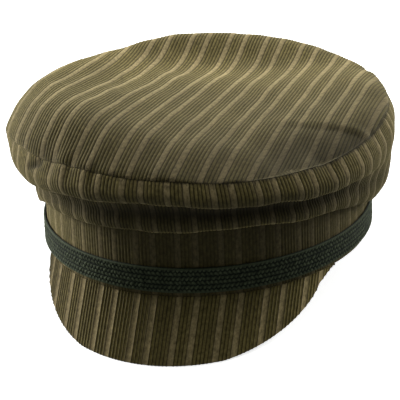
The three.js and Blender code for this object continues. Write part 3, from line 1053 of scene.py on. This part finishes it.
def peak_roots(angles):
    """Points where the peak's face and its underside leave the band, at one height."""
    root = oval_points(angles, BAND_THICKNESS, -SEAM_GAP)
    beside = oval_points(angles + 1, 0.0, 0.0) - oval_points(angles - 1, 0.0, 0.0)
    normal = np.cross(PEAK_DOWN, beside)
    normal /= np.linalg.norm(normal, axis=1, keepdims=True)
    inner_root = root - normal * PEAK_THICKNESS
    inner_root += PEAK_DOWN * ((root[:, 2] - inner_root[:, 2]) / PEAK_DOWN[2])[:, None]
    return root, inner_root


def peak_lengths(angles, root, inner_root):
    """How far the face and the underside run down along each wale."""
    corner = np.where(angles < 0, PEAK_CORNER, PEAK_RIGHT_CORNER)
    turned = np.abs(np.sin(np.radians(angles)) / math.sin(math.radians(PEAK_HALF_ANGLE)))
    drawn = PEAK_LENGTH * np.maximum(1 - turned**corner, 0) ** (1 / corner) + PEAK_SPARE
    drawn = np.maximum(drawn, np.interp(angles, PEAK_TAIL_ANGLES, (PEAK_TAIL_LENGTH, 0), left=0))
    shortest = np.interp(angles, (PEAK_HALF_ANGLE, PEAK_TAIL_ANGLES[1]), (PEAK_END, PEAK_TAIL_END))
    length = np.minimum(np.maximum(drawn, shortest), length_to_rest(root))
    return length, length * length_to_rest(inner_root) / length_to_rest(root)


def bend(before, corner, after, count):
    """Rows of points on a smooth bend round a corner, without its first row."""
    shares = np.arange(1, count + 1) / count
    return [before * (1 - t) ** 2 + corner * 2 * t * (1 - t) + after * t**2 for t in shares]


def peak_rows(angles):
    """Points down the face, round the edge and up the underside, and each row's share of the relief."""
    root, inner_root = peak_roots(angles)
    length, inner_length = peak_lengths(angles, root, inner_root)
    edge = root + PEAK_DOWN * length[:, None]
    inner_edge = inner_root + PEAK_DOWN * inner_length[:, None]
    turn_in = np.minimum(PEAK_BEND, length * PEAK_BEND_SHARE)
    land = (edge + inner_edge) / 2
    after = inner_edge - PEAK_DOWN * turn_in[:, None]
    down = np.linspace(0, 1, PEAK_ROWS)
    rows = [root + PEAK_DOWN * ((length - turn_in) * t)[:, None] for t in down]
    rows += bend(rows[-1], edge, land, PEAK_FACE_BEND_ROWS)
    rows += bend(land, inner_edge, after, PEAK_BACK_BEND_ROWS)
    rows += [after + (inner_root - after) * t for t in np.linspace(0, 1, PEAK_BACK_ROWS)[1:]]
    past_face = np.arange(len(rows)) - PEAK_ROWS + 1
    relief = np.clip(1 - past_face / PEAK_FACE_BEND_ROWS, 0, 1)
    return np.stack(rows, axis=1), relief


def peak_ends(outer):
    """The narrow faces that close the peak's two ends."""
    half = outer.shape[1] // 2
    left = np.stack([outer[0, ::-1][:half], outer[0, :half]])
    right = np.stack([outer[-1, :half], outer[-1, ::-1][:half]])
    plain = {"ridge": [PEAK_END_RIDGE] * 2, "light": [PEAK_END_LIGHT] * 2}
    return [{"points": left, **plain}, {"points": right, **plain}]


def peak(material):
    angles, ridge, light, across = peak_stripes()
    points, relief = peak_rows(angles)
    lift = WALE_DEPTH * (ridge[:, None] - PEAK_WALE_SINK) * relief[None, :]
    outer = points + surface_normals(points) * lift[..., None]
    # Painted light across the peak, brighter towards the right
    painted_peak_light = PEAK_SHADE + PEAK_SHADE_RIGHT * np.sin(np.radians(angles))
    shade = np.repeat(painted_peak_light[:, None], points.shape[1], axis=1)
    skin = {"points": outer, "ridge": ridge, "light": light, "across": across, "shade": shade}
    piece = cloth_piece("cap_peak", [skin, *peak_ends(outer)], material)
    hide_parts("peak")


# Floor, lights and camera
FLOOR_REACH = 4.0


def floor():
    """A wide floor that throws no light back on the cap."""
    corners = [(-1, -1), (1, -1), (1, 1), (-1, 1)]
    mesh = bpy.data.meshes.new("floor")
    mesh.from_pydata([(FLOOR_REACH * x, FLOOR_REACH * y, 0) for x, y in corners], [], [(0, 1, 2, 3)])
    plane = bpy.data.objects.new("floor", mesh)
    bpy.context.scene.collection.objects.link(plane)
    mesh.materials.append(floor_material())
    plane.visible_diffuse = False


def soft_light(name, place, target, size, power):
    """A white rectangular lamp that faces a target."""
    data = bpy.data.lights.new(name, "AREA")
    data.shape = "RECTANGLE"
    data.size = size[0]
    data.size_y = size[1]
    data.energy = power
    lamp = bpy.data.objects.new(name, data)
    lamp.location = place
    lamp.rotation_mode = "QUATERNION"
    lamp.rotation_quaternion = (Vector(target) - Vector(place)).to_track_quat("-Z", "Y")
    bpy.context.scene.collection.objects.link(lamp)


def studio():
    """A dim world and five soft lamps round the cap."""
    world = bpy.data.worlds.new("studio")
    world.use_nodes = True
    world.node_tree.nodes["Background"].inputs["Color"].default_value = (0.85, 1, 0.8, 1)
    world.node_tree.nodes["Background"].inputs["Strength"].default_value = 0.07
    bpy.context.scene.world = world
    middle = (0, 0, 0.06)
    soft_light("back_high", (0.1, 1.25, 0.8), middle, (1.0, 0.8), 17)
    soft_light("overhead", (0, 0, 1.3), middle, (0.8, 0.8), 5.4)
    soft_light("front_fill", (0.35, -1.1, 0.5), middle, (0.9, 0.6), 1.2)
    soft_light("left_side", (-1.15, 0.25, 0.35), middle, (0.6, 0.5), 30)
    soft_light("right_side", (0.9, 0.8, 0.35), middle, (0.6, 0.5), 15)
    bpy.context.scene.view_settings.view_transform = "Standard"


CAMERA_TURN = math.radians(15)
CAMERA_RISE = math.radians(19)
CAMERA_ROLL = math.radians(-2)
CAMERA_DISTANCE = 1000 * MM
CAMERA_TARGET = Vector((0, 0, 50 * MM))
AIM_RIGHT = -3.6 * MM
AIM_UP = -33.9 * MM
LENS = 163.5


def camera():
    """The camera is placed round the level cap and leans back with it."""
    back = Vector((
        math.sin(CAMERA_TURN) * math.cos(CAMERA_RISE),
        -math.cos(CAMERA_TURN) * math.cos(CAMERA_RISE),
        math.sin(CAMERA_RISE),
    ))
    right = Vector((math.cos(CAMERA_TURN), math.sin(CAMERA_TURN), 0))
    up = back.cross(right)
    rolled_right = math.cos(CAMERA_ROLL) * right + math.sin(CAMERA_ROLL) * up
    rolled_up = math.cos(CAMERA_ROLL) * up - math.sin(CAMERA_ROLL) * right
    place = CAMERA_TARGET + back * CAMERA_DISTANCE
    aim = CAMERA_TARGET + AIM_RIGHT * rolled_right + AIM_UP * rolled_up
    looking = (place - aim).normalized()
    side = rolled_up.cross(looking).normalized()
    top = looking.cross(side)
    pose = Matrix((side, top, looking)).transposed().to_4x4()
    pose.translation = place
    data = bpy.data.cameras.new("camera")
    data.lens = LENS
    data.sensor_width = 36
    viewer = bpy.data.objects.new("camera", data)
    viewer.matrix_world = to_row @ pose
    bpy.context.scene.collection.objects.link(viewer)
    bpy.context.scene.camera = viewer


corduroy = corduroy_material()
top_panel(corduroy)
side_crown(corduroy)
head_band(corduroy)
braid(braid_material())
peak(corduroy)
floor()
studio()
camera()
